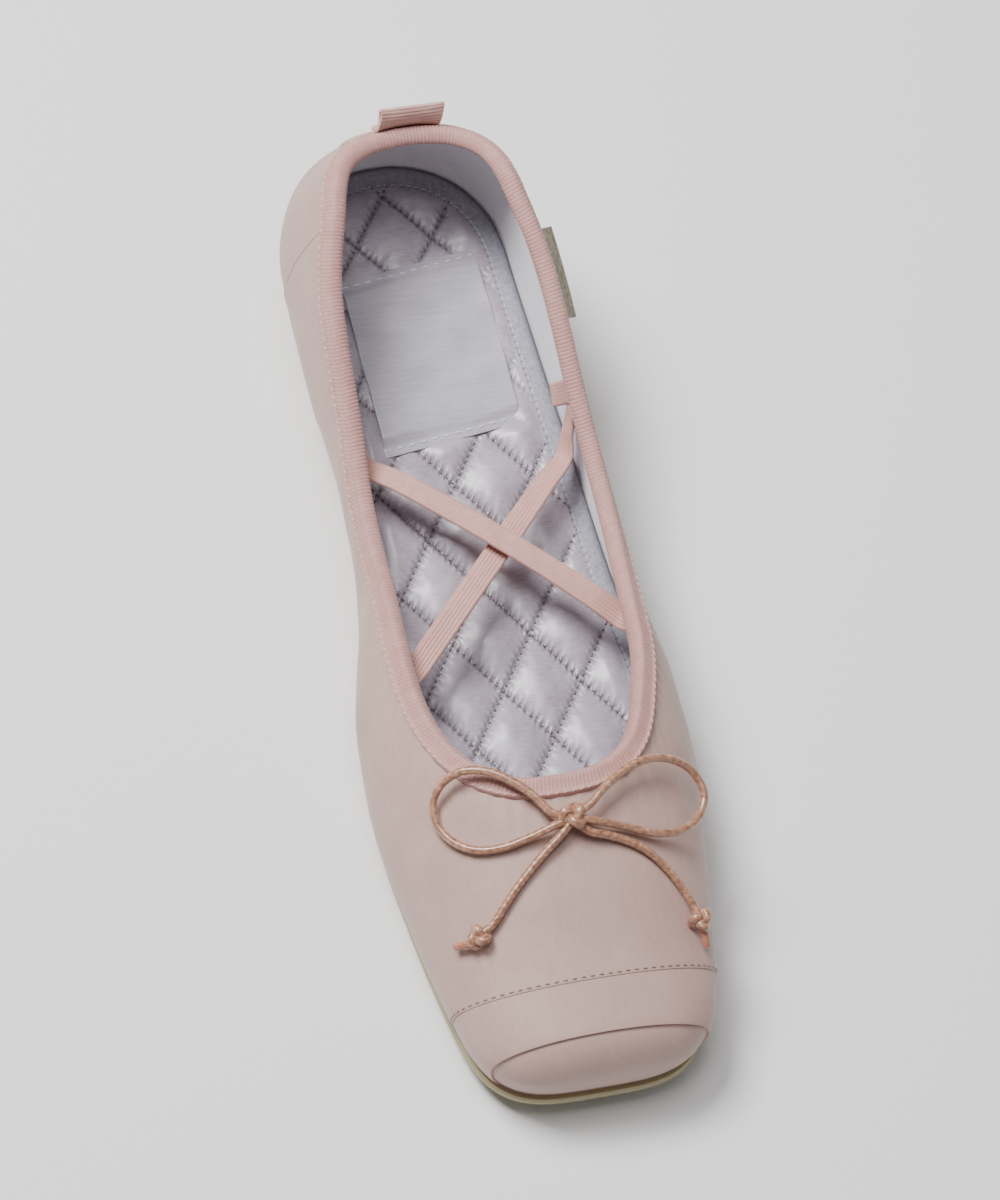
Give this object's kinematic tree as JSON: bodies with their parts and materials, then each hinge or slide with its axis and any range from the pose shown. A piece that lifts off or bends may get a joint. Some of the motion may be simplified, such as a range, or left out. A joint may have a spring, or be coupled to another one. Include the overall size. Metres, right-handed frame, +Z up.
{
  "type": "ballet flat",
  "caption": "Left ballet flat with a square toe, satin upper, elastic collar binding, crossed elastic straps, thin cord bow, heel pull tab and low rubber sole",
  "frame": {"origin": "on the floor at the centre of the heel's flat spot", "axes": "+Z up, -Y towards the toe along the last's long axis, +X towards the shoe's outer (lateral) side"},
  "size_m": [0.0783, 0.25, 0.0705],
  "materials": {
    "gum_rubber": "smooth translucent gum rubber",
    "quilted_satin": "quilted grey satin over foam",
    "satin": "dull pale pink satin",
    "binding_elastic": "puckered elastic",
    "strap_elastic": "ribbed elastic",
    "pull_tab_tape": "ribbed tape",
    "woven_tab": "plain woven tape",
    "bow_cord": "shiny round satin cord"
  },
  "bodies": {
    "root": {"outsole": "gum_rubber", "insole": "quilted_satin", "upper": "satin", "topline_binding": "binding_elastic", "cross_strap_over": "strap_elastic", "cross_strap_under": "strap_elastic", "heel_pull_tab": "pull_tab_tape", "side_tab": "woven_tab", "bow_knot": "bow_cord", "bow_loop_medial": "bow_cord", "bow_loop_lateral": "bow_cord", "bow_tail_medial": "bow_cord", "bow_tail_lateral": "bow_cord", "bow_end_knot_medial": "bow_cord", "bow_end_knot_lateral": "bow_cord"}
  },
  "joints": []
}
